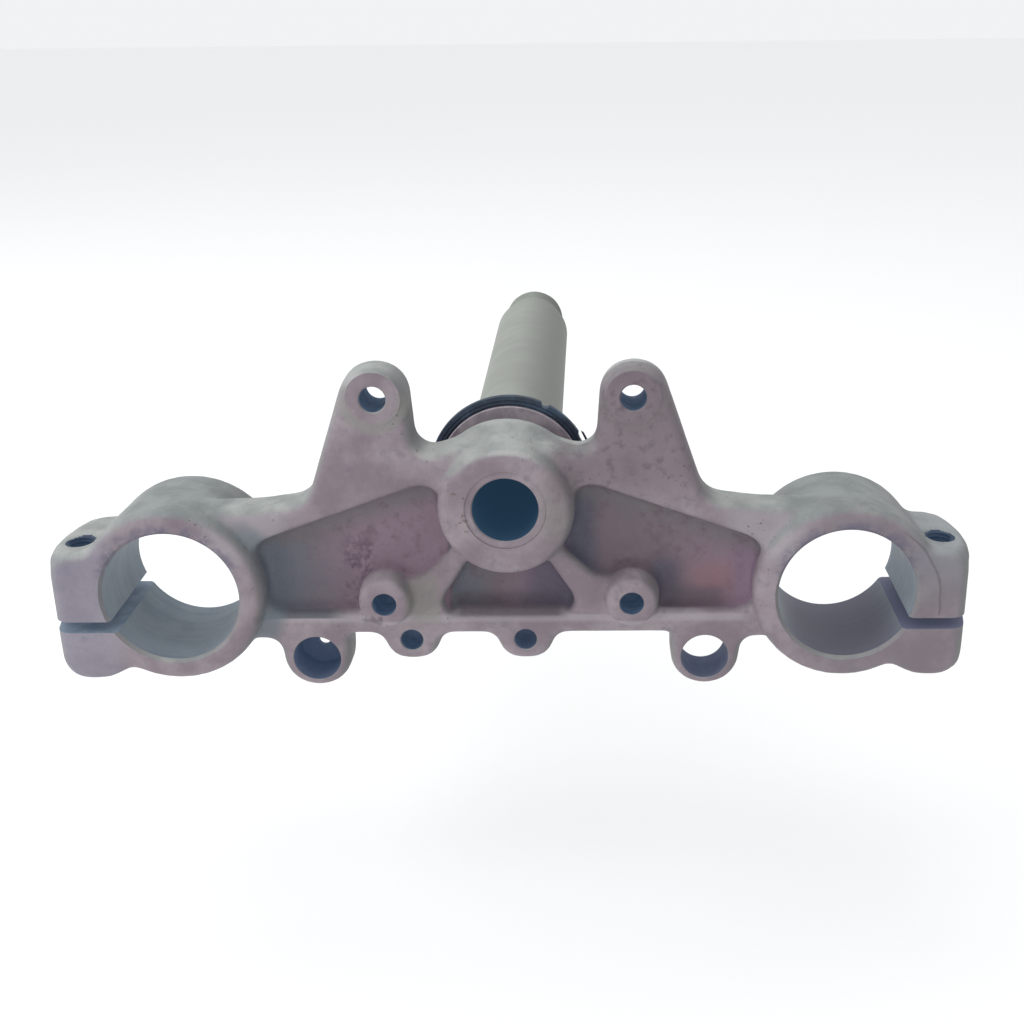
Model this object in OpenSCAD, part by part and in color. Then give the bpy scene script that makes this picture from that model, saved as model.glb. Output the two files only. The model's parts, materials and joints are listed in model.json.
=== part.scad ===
// Lower fork yoke of a motorcycle with its pressed-in steering stem.
// X runs across the yoke, +Y up the steering stem, +Z towards the headlamp ears.
// The origin is on the stem axis, on the shoulder that carries the lower bearing.
// Millimetres.

/* [Fork clamps] */
// Bore for one fork leg
fork_d = 41; // [35:0.5:45]
// Distance between the two fork legs
fork_spacing = 202; // [185:1:230]
// Distance of the fork legs below the stem axis
fork_offset = 27.5; // [22:0.5:34]
// Depth of the clamps along the fork
clamp_h = 38.5; // [32:0.5:48]
// Wall of the clamp barrels round the bore, at the near face
clamp_wall = 7.4; // [6:0.2:10]
// Draft of the clamp barrels, in degrees
clamp_draft = 2.2; // [0.5:0.1:4]
// Chamfer at both ends of the fork bores
bore_chamfer = 1; // [0.4:0.1:1.6]
// Width of the clamping slit
slit_w = 3.6; // [2:0.2:5]
// Distance of the slit below the fork axis
slit_drop = 9.5; // [7:0.5:12]
// Lip from the fork bore to the outer face of the pinch lugs
lip_reach = 14.7; // [13:0.1:18]
// Height of the upper lug above the fork axis
lip_top = 14.2; // [12:0.2:17]
// Height of the lower lug below the fork axis
lip_bottom = 28; // [26:0.2:32]
// Bulge of the pinch lugs between the two faces of the clamp
lip_bulge = 3.6; // [0:0.2:5]

/* [Pinch bolts] */
// Thread for the pinch bolt
pinch_d = 8; // [6:1:10]
// Wall between the fork bore and the pinch thread
pinch_wall = 4.8; // [3.5:0.1:5.5]
// Distance of the pinch bolt from the near face of the clamp
pinch_depth = 14; // [11:0.5:19]
// Clearance of the bolt in the lower lug
pinch_play = 0.6; // [0.2:0.1:1.2]
// Spot face under the bolt head
pinch_spot_d = 13; // [11:0.5:16]

/* [Body] */
// Thickness of the cast body
body_t = 14.6; // [12:0.2:18]
// Step from the clamp faces back to the body
body_step = 5; // [3.5:0.5:8]
// Height of the arms beside the clamps, below the stem axis
arm_drop = 1.4; // [0:0.1:4]
// Distance from the stem axis to the bottom edge
body_drop = 42.8; // [41:0.2:47]
// Height of the saddle between the ears, over the stem axis
saddle_rise = 18; // [15.5:0.5:20]
// Cast radius of the outer edges
edge_r = 3.4; // [2.4:0.2:4]

/* [Headlamp ears] */
// Distance between the two ear holes
ear_spacing = 74.6; // [70:0.2:80]
// Height of the ear holes over the stem axis
ear_rise = 32.5; // [29:0.5:38]
// Hole in each ear
ear_hole_d = 7.6; // [5:0.2:9]
// Metal over the ear holes
ear_wall = 4.8; // [4:0.2:7]
// Pad round each ear hole
ear_pad_d = 16.4; // [14:0.2:18]
// Height of the pad over the ear
ear_pad_h = 0.5; // [0.2:0.1:1]
// Slope of the outer side of each ear, in degrees
ear_slope = 19; // [12:1:22]

/* [Pockets] */
// Depth of the pockets in the underside
pocket_depth = 8.4; // [7.6:0.2:9.4]
// Draft of the pocket walls, in degrees
pocket_draft = 9; // [2:1:14]
// Rim along the bottom edge
rim_w = 8; // [6:0.2:10]
// Radius where a pocket meets its rim
lip_r = 1.8; // [0.8:0.1:2.2]
// Radius at the floor of a pocket
floor_r = 4.6; // [3:0.2:5]

/* [Small bosses] */
// Distance between the two small bosses
boss_spacing = 74; // [70:0.5:78]
// Distance of the small bosses below the stem axis
boss_drop = 30; // [28:0.5:32]
// Hole in each small boss
boss_hole_d = 7.2; // [5:0.2:8.4]
// Wall of each small boss
boss_wall = 4.2; // [3.6:0.1:4.8]

/* [Bottom lugs] */
// Distance between the two large lugs
stop_spacing = 119; // [114:1:124]
// Distance of the large lugs below the stem axis
stop_drop = 50.3; // [49:0.2:53]
// Hole in each large lug
stop_hole_d = 14.5; // [10:0.5:16]
// Wall of each large lug
stop_wall = 3; // [2.8:0.2:5]
// Small hole behind the left large hole
stop_small_d = 3.6; // [2.5:0.1:8]
// Floor left behind the left large hole
stop_floor = 2.4; // [2:0.2:6]
// Left small lug, distance from the stem axis
tab_left_x = 30; // [26:0.5:32]
// Right small lug, distance from the stem axis
tab_right_x = 4.8; // [0:0.2:12]
// Distance of the small lug holes below the stem axis
tab_drop = 44.1; // [43:0.1:46]
// Hole in each small lug
tab_hole_d = 6.8; // [5:0.2:8]
// Wall of each small lug
tab_wall = 4; // [3.6:0.2:6]

/* [Stem] */
// Seat of the lower bearing, above a groove that clears the seal
stem_d = 30; // [28:0.5:32]
// Wall of the stem at that seat
stem_wall = 5.25; // [4.25:0.25:6]
// Step from the seat in to the spigot inside the boss
spigot_step = 3; // [1.8:0.1:3.6]
// Plain length of the stem above the shoulder
stem_plain = 181; // [140:1:220]
// Step from the seat in to the upper bearing journal
journal_step = 2; // [1.5:0.25:2.5]
// Length of the upper journal
journal_h = 13; // [8:1:20]
// Step from that journal in to the thread at the top
thread_step = 0.5; // [0.25:0.25:0.75]
// Length of that thread
stem_thread_h = 16; // [10:1:24]
// Flat ring left at the face of the centre boss
hub_face_d = 34.6; // [31:0.2:36]
// Centre boss at its root
hub_d = 40.6; // [40:0.2:43]
// Distance of the centre boss's face below the stem axis
hub_sag = 1; // [0:0.1:1.4]
// Shoulder that carries the lower bearing
shoulder_d = 36.6; // [34:0.2:39]
// Height of the shoulder over the body
shoulder_h = 10.4; // [8:0.2:14]

/* [Seal] */
// Outside of the steel washer
washer_d = 44.8; // [42:0.2:46.4]
// Thickness of the steel washer
washer_t = 1.2; // [0.8:0.1:2]
// Width of the rubber dust seal outside the washer
seal_reach = 2.9; // [2.2:0.1:4]
// Thickness of the dust seal
seal_t = 2.6; // [2.2:0.1:4]
// Depth of the groove round the seal's upper side
seal_groove = 0.8; // [0.4:0.1:1.2]
// Clearance of the washer and seal on the stem
seal_play = 0.15; // [0.05:0.05:0.4]

/* [Hidden] */
$fn = 72;
// Largest turn in one step of a rounded corner, and the same on the clamp barrels
corner_turn = 20;
barrel_turn = 9;
barrel_size = 20;
edge_steps = 3;
bulge_steps = 4;
past = 1;

// Levels along the stem
body_top = -shoulder_h;
body_near = body_top - body_t;
face_y = body_near - body_step;
clamp_far = face_y + clamp_h;
pocket_floor = body_near + pocket_depth;

// Fork clamps, with the pinch bolt outside each bore
fork_x = fork_spacing / 2;
fork_r = fork_d / 2;
barrel_r = fork_r + clamp_wall;
lug_reach = fork_r + lip_reach;
lug_r = 7.5;
lug_in_r = 12;
slit_z = -fork_offset - slit_drop;
pinch_x = fork_x + fork_r + pinch_wall + pinch_d / 2;
pinch_y = face_y + pinch_depth;
tap_d = pinch_d * 0.85;
tap_mouth = 1.6;
spot_depth = 0.8;

// Body
ear_x = ear_spacing / 2;
ear_r = ear_hole_d / 2 + ear_wall + 0.9;
ear_top_z = ear_rise + ear_hole_d / 2 + ear_wall;
ear_root_r = 8;
ramp_rise = 2.2;
ramp_run = 15;
valley_r = 5.5;
saddle_x = 14;
boss_x = boss_spacing / 2;
boss_r = boss_hole_d / 2 + boss_wall;
boss_root_r = boss_r + 1.4;
stop_x = stop_spacing / 2;
stop_r = stop_hole_d / 2 + stop_wall;
tab_r = tab_hole_d / 2 + tab_wall;
arch_z = -body_drop - 1.7;
arch_r = 4.5;
web_r = 1.6;

// Centre boss
hub_r = hub_d / 2;
hub_foot = 2.5;
shoulder_r = shoulder_d / 2;
shoulder_edge = 0.6;

// Stem and seal
stem_end = face_y + 0.4;
stem_edge = 0.4;
stem_top = stem_plain + journal_h + stem_thread_h;
stem_bore_d = stem_d - 2 * stem_wall;
spigot_d = stem_d - 2 * spigot_step;
journal_d = stem_d - 2 * journal_step;
stem_thread_d = journal_d - 2 * thread_step;
seal_bore = stem_d + 2 * seal_play;
washer_r = washer_d / 2;
seal_r = washer_r + seal_reach;
seal_rib = seal_reach / 7;
chip = seal_reach * 0.4;
flap = seal_reach * 0.4;
seal_top = washer_t + seal_t;
ridge_h = 0.5;
relief_in = 0.2;
relief_h = seal_top - seal_groove + 0.2;

function unit(v) = v / norm(v);
function flat(v) = [v.x, v.y];
function next(p, i) = p[(i + 1) % len(p)];
function prior(p, i) = p[(i + len(p) - 1) % len(p)];
function turn_of(a, b, c) = cross(b - a, c - b);
function polar(r, t) = r * [cos(t), sin(t)];

// Points on the arc that rounds the corner b, which lies between a and c
function round_corner(a, b, c, r, steps) =
    let (
        u = unit(a - b),
        v = unit(c - b),
        half = acos(u * v) / 2,
        m = b + unit(u + v) * r / sin(half),
        p = b + u * r / tan(half) - m,
        start = atan2(p.y, p.x),
        sweep = sign(turn_of(a, b, c)) * (180 - 2 * half)
    )
    [for (i = [0 : steps]) m + polar(r, start + sweep * i / steps)];

// Outline through corners [x, z, radius, steps], anticlockwise
function rounded(p) =
    [for (i = [0 : len(p) - 1])
        each round_corner(
            flat(prior(p, i)), flat(p[i]), flat(next(p, i)), p[i][2], p[i][3]
        )];

// Steps that the arc of corner i is drawn with
function steps_at(p, i) =
    let (
        u = unit(flat(p[i]) - flat(prior(p, i))),
        v = unit(flat(next(p, i)) - flat(p[i]))
    )
    ceil(acos(u * v) / (p[i].z > barrel_size ? barrel_turn : corner_turn) - 0.01);

// The corners with their steps, which are counted on another outline of the same kind
function stepped(p, counted) =
    [for (i = [0 : len(p) - 1]) [p[i].x, p[i].y, p[i].z, steps_at(counted, i)]];

// The same corners moved inwards by d
function shrunk(p, d) =
    [for (i = [0 : len(p) - 1])
        let (
            u = unit(flat(p[i]) - flat(prior(p, i))),
            v = unit(flat(next(p, i)) - flat(p[i])),
            n = [-u.y - v.y, u.x + v.x] / (1 + u * v)
        )
        [p[i].x + d * n.x, p[i].y + d * n.y, max(0.2, p[i].z - sign(cross(u, v)) * d), p[i][3]]];

function mirrored(p) = [for (i = [len(p) - 1 : -1 : 0]) [-p[i].x, p[i].y, p[i].z]];

// Triangles that fill an outline, made by cutting off one corner at a time
function holds(p, a, b, c) =
    turn_of(a, b, p) > 0 && turn_of(b, c, p) > 0 && turn_of(c, a, p) > 0;
function can_cut(p, l, i) =
    let (a = p[prior(l, i)], b = p[l[i]], c = p[next(l, i)])
    turn_of(a, b, c) > 0 && len([for (k = l) if (holds(p[k], a, b, c)) k]) == 0;
function first_cut(p, l, i = 0) =
    i >= len(l) - 1 || can_cut(p, l, i) ? i : first_cut(p, l, i + 1);
function fill(p, l, done = []) =
    len(l) == 3 ? concat(done, [l]) :
    let (i = first_cut(p, l))
    fill(
        p,
        [for (k = [0 : len(l) - 1]) if (k != i) l[k]],
        concat(done, [[prior(l, i), l[i], next(l, i)]])
    );

// Solid through outlines of equal length, each at its height along the stem
module loft(rings, heights) {
    n = len(rings[0]);
    last = len(rings) - 1;
    cap = fill(rings[0], [for (i = [0 : n - 1]) i]);
    polyhedron(
        points = [for (k = [0 : last]) for (p = rings[k]) [p.x, heights[k], p.y]],
        faces = concat(
            [for (f = cap) [f[2], f[1], f[0]]],
            [for (k = [0 : last - 1]) for (i = [0 : n - 1]) let (j = (i + 1) % n, a = k * n)
                each [[a + i, a + j, a + n + j], [a + i, a + n + j, a + n + i]]],
            [for (f = cap) [for (i = f) i + last * n]]
        ),
        convexity = 10
    );
}

// Cast block: levels hold the inset of the outline and the height along the stem
module cast_block(corners, levels)
    loft(
        [for (l = levels) rounded(shrunk(stepped(corners, corners), l[0]))],
        [for (l = levels) l[1]]
    );

// Levels of a block from y0 to y1 with both edges rounded by r
function block_levels(y0, y1, r) =
    let (s = [for (i = [0 : edge_steps]) 90 * i / edge_steps])
    concat(
        [for (a = s) [r * (1 - sin(a)), y0 + r * (1 - cos(a))]],
        [for (a = s) [r * (1 - cos(a)), y1 - r * (1 - sin(a))]]
    );

// Levels of a pocket that opens to the underside: rounded lip, drafted wall, rounded floor
pocket_levels =
    let (
        s = [for (i = [0 : edge_steps]) 90 * i / edge_steps],
        foot = (pocket_depth - lip_r - floor_r) * tan(pocket_draft)
    )
    concat(
        [[-lip_r, face_y - past]],
        [for (a = s) [-lip_r * (1 - sin(a)), body_near + lip_r * (1 - cos(a))]],
        [for (a = s) [foot + floor_r * (1 - cos(a)), pocket_floor - floor_r * (1 - sin(a))]]
    );

module drill(x, z, d, y0, y1)
    translate([x, y0, z]) rotate([-90, 0, 0]) cylinder(d = d, h = y1 - y0);

module turned(x, z, profile)
    translate([x, 0, z]) rotate([-90, 0, 0]) rotate_extrude() polygon(profile);

module both_sides() {
    children();
    mirror([1, 0, 0]) children();
}

// Outer side of an ear, which leans outwards on its way down to the arm
function ear_side_x(z) = ear_x + ear_r + 0.9 + (ear_rise + 1 - z) * tan(ear_slope);

ear_corners = [
    [ear_side_x(-arm_drop) + ramp_run, -arm_drop, 25],
    [ear_side_x(ramp_rise - arm_drop), ramp_rise - arm_drop, ear_root_r],
    [ear_side_x(ear_top_z), ear_top_z, ear_r],
    [ear_x - ear_r + 0.4, ear_top_z, ear_r],
    [ear_x - ear_r - 1.4, saddle_rise - 4.2, valley_r],
    [saddle_x, saddle_rise, 9]
];

stop_corners = [
    [stop_x - stop_r - 0.2, -body_drop, web_r],
    [stop_x - stop_r, -stop_drop - stop_r, stop_r - 0.2],
    [stop_x + stop_r, -stop_drop - stop_r, stop_r - 0.2],
    [stop_x + stop_r + 1, arch_z, arch_r]
];

// The arm runs into the barrel, and its end is buried there
arm_in = fork_x - sqrt(pow(barrel_r, 2) - pow(arch_z + fork_offset, 2)) + 0.6;
arm_corners = [
    [arm_in, arch_z, arch_r],
    [fork_x - barrel_r * 0.44, -fork_offset - barrel_r * 0.87, 2],
    [fork_x, -fork_offset - barrel_r * 0.8, 2],
    [fork_x, -arm_drop - 0.6, 2]
];

function tab_corners(x) = [
    [x - tab_r - 1.6, -body_drop, arch_r],
    [x - tab_r, -tab_drop - tab_r, tab_r - 0.5],
    [x + tab_r, -tab_drop - tab_r, tab_r - 0.5],
    [x + tab_r + 1.6, -body_drop, arch_r]
];

body_corners = concat(
    ear_corners,
    mirrored(concat(stop_corners, arm_corners, ear_corners)),
    tab_corners(-tab_left_x),
    tab_corners(tab_right_x),
    stop_corners,
    arm_corners
);

// Clamp outline round the fork axis: a barrel with the two pinch lugs on its outer side
lip_leave = 64;
lip_run = 2.4;
function tangent_corner(a, b) = polar(barrel_r / cos((a - b) / 2), (a + b) / 2);
function clamp_corners(bulge) =
    let (
        reach = lug_reach + bulge,
        meet = asin((lip_top + 3) / barrel_r),
        foot = polar(barrel_r, -lip_leave) + lip_run * [sin(lip_leave), cos(lip_leave)]
    )
    [
        each [for (t = [135, 225]) [each tangent_corner(t - 45, t + 45), barrel_r - 0.01]],
        [each tangent_corner(-90, -lip_leave), barrel_r - 0.01],
        [each foot, 3],
        [fork_r + 1.5, -lip_bottom, lug_in_r],
        [reach, -lip_bottom, lug_r],
        [reach, lip_top, lug_r],
        [(barrel_r - lip_top * sin(meet)) / cos(meet), lip_top, 3.5],
        [each tangent_corner(90, meet), barrel_r - 0.01]
    ];

// The lugs bulge outwards round the pinch bolt
function bulge_at(y) = lip_bulge * (1 - pow(2 * (y - face_y) / clamp_h - 1, 2));
clamp_levels =
    let (
        ends = block_levels(face_y, clamp_far, edge_r),
        step = (clamp_h - 2 * edge_r) / bulge_steps
    )
    [for (k = [0 : len(ends) - 1]) each concat(
        [ends[k]],
        k == edge_steps ? [for (i = [1 : bulge_steps - 1]) [0, face_y + edge_r + step * i]] : []
    )];

module clamp()
    translate([fork_x, 0, -fork_offset])
        loft(
            [for (l = clamp_levels) rounded(shrunk(
                stepped(clamp_corners(bulge_at(l[1])), clamp_corners(0)),
                l[0] + (l[1] - face_y) * tan(clamp_draft)
            ))],
            [for (l = clamp_levels) l[1]]
        );

pocket_corners = [
    [20.4, 7.6, 6],
    [16.4, -14.6, 2.5],
    [26.3, -23.6, 5],
    [boss_x + 4.5, 4.2 - boss_drop, 3],
    [boss_x + 4.5, rim_w - body_drop, 4],
    [fork_x - barrel_r + 1.5, rim_w - body_drop, 7.5],
    [fork_x - barrel_r + 4.2, -12.9, 8]
];
keel_corners = [
    [-11.5, -17.5, 3],
    [-23.6, rim_w - body_drop - 1.6, 4.5],
    [23.6, rim_w - body_drop - 1.6, 4.5],
    [11.5, -17.5, 3]
];

module body()
    difference() {
        cast_block(body_corners, block_levels(body_near, body_top, edge_r));
        both_sides() cast_block(pocket_corners, pocket_levels);
        cast_block(keel_corners, pocket_levels);
    }

// Centre boss on the underside, cast a little off the stem axis
module hub_face()
    turned(0, -hub_sag, [
        [0, face_y],
        [hub_face_d / 2, face_y],
        [(hub_face_d / 2 + hub_r) / 2, face_y + 0.6],
        [hub_r - 0.8, face_y + 1.8],
        [hub_r - 0.2, face_y + 3.4],
        [hub_r, body_near],
        [hub_r, pocket_floor],
        [0, pocket_floor]
    ]);

// Core of the centre boss, from behind its face to the bearing shoulder
module hub()
    turned(0, 0, [
        [0, body_near],
        [hub_r - 1.4, body_near],
        [hub_r - 0.4, body_near + 1.4],
        [hub_r + 0.6, pocket_floor - 3.2],
        [hub_r + 1.4, pocket_floor - 1.2],
        [hub_r + hub_foot, pocket_floor],
        [hub_r + hub_foot, body_top - 1.6],
        [hub_r, body_top + 0.8],
        [shoulder_r + 0.4, body_top + 3.4],
        [shoulder_r, -shoulder_edge],
        [shoulder_r - shoulder_edge, 0],
        [0, 0]
    ]);

module small_boss()
    turned(boss_x, -boss_drop, [
        [0, face_y],
        [boss_r - 1.2, face_y],
        [boss_r - 0.4, face_y + 0.3],
        [boss_r, face_y + 1.1],
        [boss_r + 0.6, body_near],
        [boss_root_r - 0.4, pocket_floor - 3],
        [boss_root_r + 0.2, pocket_floor - 1.2],
        [boss_root_r + 1.4, pocket_floor],
        [0, pocket_floor]
    ]);

module ear_pad()
    turned(ear_x, ear_rise, [
        [0, body_near + past],
        [0, body_near - ear_pad_h],
        [ear_pad_d / 2 - ear_pad_h, body_near - ear_pad_h],
        [ear_pad_d / 2, body_near],
        [ear_pad_d / 2 - past, body_near + past]
    ]);

// Tool that bores a hole through the clamp and chamfers its mouth at the level y
module bore_mouth(y, side)
    turned(fork_x, -fork_offset, [
        [0, y - side * past],
        [fork_r + bore_chamfer + past, y - side * past],
        [fork_r, y + side * bore_chamfer],
        [0, y + side * bore_chamfer]
    ]);

// Fork bore, slit and pinch bolt hole of one clamp
module clamp_cuts() {
    lug_top = slit_drop + lip_top;
    drill(fork_x, -fork_offset, fork_d, face_y - past, clamp_far + past);
    bore_mouth(face_y, 1);
    bore_mouth(clamp_far, -1);
    translate([fork_x, face_y - past, slit_z - slit_w / 2])
        cube([lug_reach + lip_bulge + past, clamp_h + 2 * past, slit_w]);
    translate([pinch_x, pinch_y, slit_z]) {
        cylinder(d = tap_d, h = lug_top + past);
        translate([0, 0, lug_top - tap_mouth])
            cylinder(d1 = tap_d, d2 = tap_d + 2 * (tap_mouth + past), h = tap_mouth + past);
        translate([0, 0, slit_drop - lip_bottom - past]) {
            cylinder(d = pinch_d + pinch_play, h = lip_bottom - slit_drop + past);
            cylinder(d = pinch_spot_d, h = past + spot_depth);
        }
    }
}

module lower_yoke() color("silver")
    difference() {
        union() {
            body();
            both_sides() clamp();
            hub_face();
            hub();
            both_sides() small_boss();
            both_sides() ear_pad();
        }
        both_sides() clamp_cuts();
        drill(0, 0, spigot_d, face_y - past, past);
        both_sides() drill(ear_x, ear_rise, ear_hole_d, body_near - past, body_top + past);
        both_sides() drill(boss_x, -boss_drop, boss_hole_d, face_y - past, body_top + past);
        drill(-tab_left_x, -tab_drop, tab_hole_d, body_near - past, body_top + past);
        drill(tab_right_x, -tab_drop, tab_hole_d, body_near - past, body_top + past);
        drill(stop_x, -stop_drop, stop_hole_d, body_near - past, body_top + past);
        drill(-stop_x, -stop_drop, stop_hole_d, body_near - past, body_top - stop_floor);
        drill(-stop_x, -stop_drop, stop_small_d, body_near, body_top + past);
    }

module steering_stem() color("lightgray")
    difference() {
        turned(0, 0, [
            [0, stem_end],
            [spigot_d / 2 - stem_edge, stem_end],
            [spigot_d / 2, stem_end + stem_edge],
            [spigot_d / 2, 0],
            [stem_d / 2 - relief_in, 0],
            [stem_d / 2 - relief_in, relief_h],
            [stem_d / 2, relief_h],
            [stem_d / 2, stem_plain],
            [journal_d / 2, stem_plain + (stem_d - journal_d) / 2],
            [journal_d / 2, stem_plain + journal_h],
            [stem_thread_d / 2, stem_plain + journal_h],
            [stem_thread_d / 2, stem_top - 1],
            [stem_thread_d / 2 - 1, stem_top],
            [0, stem_top]
        ]);
        drill(0, 0, stem_bore_d, stem_end - past, stem_top + past);
    }

module seal_washer() color("gainsboro")
    turned(0, 0, [
        [seal_bore / 2, 0],
        [washer_r - 0.2, 0],
        [washer_r, 0.2],
        [washer_r, washer_t],
        [seal_bore / 2, washer_t]
    ]);

// Flat piece of the seal between two levels, from points [angle, distance outside the rim]
module seal_patch(points, y0, y1)
    translate([0, y1, 0]) rotate([90, 0, 0]) linear_extrude(y1 - y0)
        polygon([for (q = points) polar(seal_r + q.y, q.x)]);

// Rubber seal with a ridged lip, chipped at one place and torn at another
module dust_seal() color("darkslategray") {
    difference() {
        turned(0, 0, [
            [seal_bore / 2, washer_t],
            [washer_r + seal_rib, washer_t],
            [washer_r + 2 * seal_rib, washer_t - ridge_h],
            [washer_r + 3 * seal_rib, washer_t],
            [seal_r - seal_rib, washer_t],
            [seal_r, washer_t + 0.5],
            [seal_r, seal_top - 0.4],
            [seal_r - seal_reach / 2, seal_top],
            [washer_r, seal_top - seal_groove],
            [seal_bore / 2, seal_top - seal_groove]
        ]);
        seal_patch(
            [[68, past], [67, 0], [65, -chip], [62, -chip], [60, -chip / 4], [59, past]],
            washer_t - past, seal_top + past
        );
        seal_patch(
            [[34, past], [32, -chip / 2], [28, -chip * 0.7], [23, -chip / 2], [22, 0], [21, past]],
            washer_t - past, seal_top + past
        );
    }
    seal_patch(
        [[32, flap / 2], [30, flap], [22, flap], [14, 0], [16, -chip / 2], [21, -chip / 5], [24, flap / 2]],
        washer_t + ridge_h, seal_top - seal_groove
    );
}

lower_yoke();
steering_stem();
seal_washer();
dust_seal();
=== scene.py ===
import json
import math

import bmesh
import bpy
import numpy as np
from mathutils import Matrix, Vector


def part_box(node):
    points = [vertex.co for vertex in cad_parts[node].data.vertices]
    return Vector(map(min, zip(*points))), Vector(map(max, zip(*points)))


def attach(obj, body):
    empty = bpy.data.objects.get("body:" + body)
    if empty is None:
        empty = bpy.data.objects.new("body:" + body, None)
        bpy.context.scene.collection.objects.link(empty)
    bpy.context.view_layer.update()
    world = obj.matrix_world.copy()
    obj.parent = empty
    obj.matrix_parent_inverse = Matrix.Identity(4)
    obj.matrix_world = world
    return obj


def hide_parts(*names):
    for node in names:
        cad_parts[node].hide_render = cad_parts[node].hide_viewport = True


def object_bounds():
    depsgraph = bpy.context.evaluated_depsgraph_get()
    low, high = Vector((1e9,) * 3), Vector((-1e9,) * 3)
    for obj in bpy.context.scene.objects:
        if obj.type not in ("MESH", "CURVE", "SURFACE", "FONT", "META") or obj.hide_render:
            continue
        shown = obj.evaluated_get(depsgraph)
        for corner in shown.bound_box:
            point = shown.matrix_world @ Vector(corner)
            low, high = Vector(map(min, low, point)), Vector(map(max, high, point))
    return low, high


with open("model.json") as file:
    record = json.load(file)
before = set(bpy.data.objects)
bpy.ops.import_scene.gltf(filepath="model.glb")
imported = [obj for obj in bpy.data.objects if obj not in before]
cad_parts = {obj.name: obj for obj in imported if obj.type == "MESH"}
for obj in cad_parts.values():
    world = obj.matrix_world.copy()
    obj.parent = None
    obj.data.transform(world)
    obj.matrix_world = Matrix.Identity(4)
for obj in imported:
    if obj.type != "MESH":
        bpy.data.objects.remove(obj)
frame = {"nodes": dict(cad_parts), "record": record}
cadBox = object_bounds()
mounts = {m["name"]: m for m in frame["record"]["mounts"]}
mm = 0.001
print("frame loaded:", ", ".join(sorted(frame["nodes"])))


# camera, floor and light
view = {
    "place": (25.2, -401.1, 145.1),  # mm, from the ellipses of the fork bores
    "yaw": -0.80,
    "pitch": 21.41,
    "roll": -0.65,
    "lens": 48.28,
    "shift": -0.0605,
}


def setCamera():
    yaw, pitch, roll = (math.radians(view[k]) for k in ("yaw", "pitch", "roll"))
    ahead = Vector((math.sin(yaw) * math.cos(pitch), math.cos(yaw) * math.cos(pitch), -math.sin(pitch)))
    level = Vector((math.cos(yaw), -math.sin(yaw), 0))
    over = level.cross(ahead)
    right = math.cos(roll) * level + math.sin(roll) * over
    up = math.cos(roll) * over - math.sin(roll) * level
    turn = Matrix((right, up, -ahead)).transposed().to_4x4()
    data = bpy.data.cameras.new("photoCamera")
    data.lens, data.sensor_width, data.shift_x = view["lens"], 36, view["shift"]
    data.clip_start, data.clip_end = 0.01, 20
    camera = bpy.data.objects.new("photoCamera", data)
    camera.matrix_world = Matrix.Translation(Vector(view["place"]) * mm) @ turn
    bpy.context.scene.collection.objects.link(camera)
    bpy.context.scene.camera = camera


studio = {
    "world": ((0.98, 0.99, 1.0), 0.90),
    "floor": (0.95, 0.95, 0.95),
    "floorSize": 12,
    "floorDrop": 0.08,  # the part is held by its stem, so the floor lies below it
    # place in metres, size, watts, colour
    "lamps": {
        "topSoftbox": ((-0.35, 0.05, 1.20), 1.5, 5.5, (0.97, 1.0, 0.98)),
        "sideSoftbox": ((-1.30, -0.20, 0.55), 0.9, 5.0, (0.98, 0.99, 1.0)),
    },
}


def setStudio():
    world = bpy.data.worlds.new("paleRoom")
    world.use_nodes = True
    colour, strength = studio["world"]
    world.node_tree.nodes["Background"].inputs[0].default_value = (*colour, 1)
    world.node_tree.nodes["Background"].inputs[1].default_value = strength
    bpy.context.scene.world = world
    for name, (place, size, power, tint) in studio["lamps"].items():
        lamp = bpy.data.lights.new(name, "AREA")
        lamp.shape, lamp.size, lamp.energy, lamp.color = "DISK", size, power, tint
        holder = bpy.data.objects.new(name, lamp)
        holder.location = place
        holder.rotation_euler = (-Vector(place)).to_track_quat("-Z", "Y").to_euler()
        bpy.context.scene.collection.objects.link(holder)
    half = studio["floorSize"] / 2
    z = cadBox[0][2] - studio["floorDrop"]
    corners = [(-half, -half, z), (half, -half, z), (half, half, z), (-half, half, z)]
    floor = newMesh("floor", corners, [(0, 1, 2, 3)])
    paint = Finish("floorPaint")
    paint.finish(baseColor=studio["floor"], roughness=0.8)
    floor.data.materials.append(paint.material)
    bpy.context.scene.view_settings.view_transform = "Standard"


# making materials
class Wire:
    # one output socket; sums and products of wires add Math nodes
    def __init__(self, finish, socket):
        self.finish, self.socket = finish, socket

    def also(self, name):  # another output of the same node
        return Wire(self.finish, self.socket.node.outputs[name])

    def calc(self, operation, a, b):
        return self.finish.node("ShaderNodeMath", {"operation": operation}, {0: a, 1: b})

    def __add__(self, other):
        return self.calc("ADD", self, other)

    def __sub__(self, other):
        return self.calc("SUBTRACT", self, other)

    def __rsub__(self, other):
        return self.calc("SUBTRACT", other, self)

    def __mul__(self, other):
        return self.calc("MULTIPLY", self, other)

    __radd__, __rmul__ = __add__, __mul__

    def size(self):  # without its sign
        return self.finish.node("ShaderNodeMath", {"operation": "ABSOLUTE"}, {0: self})


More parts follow.
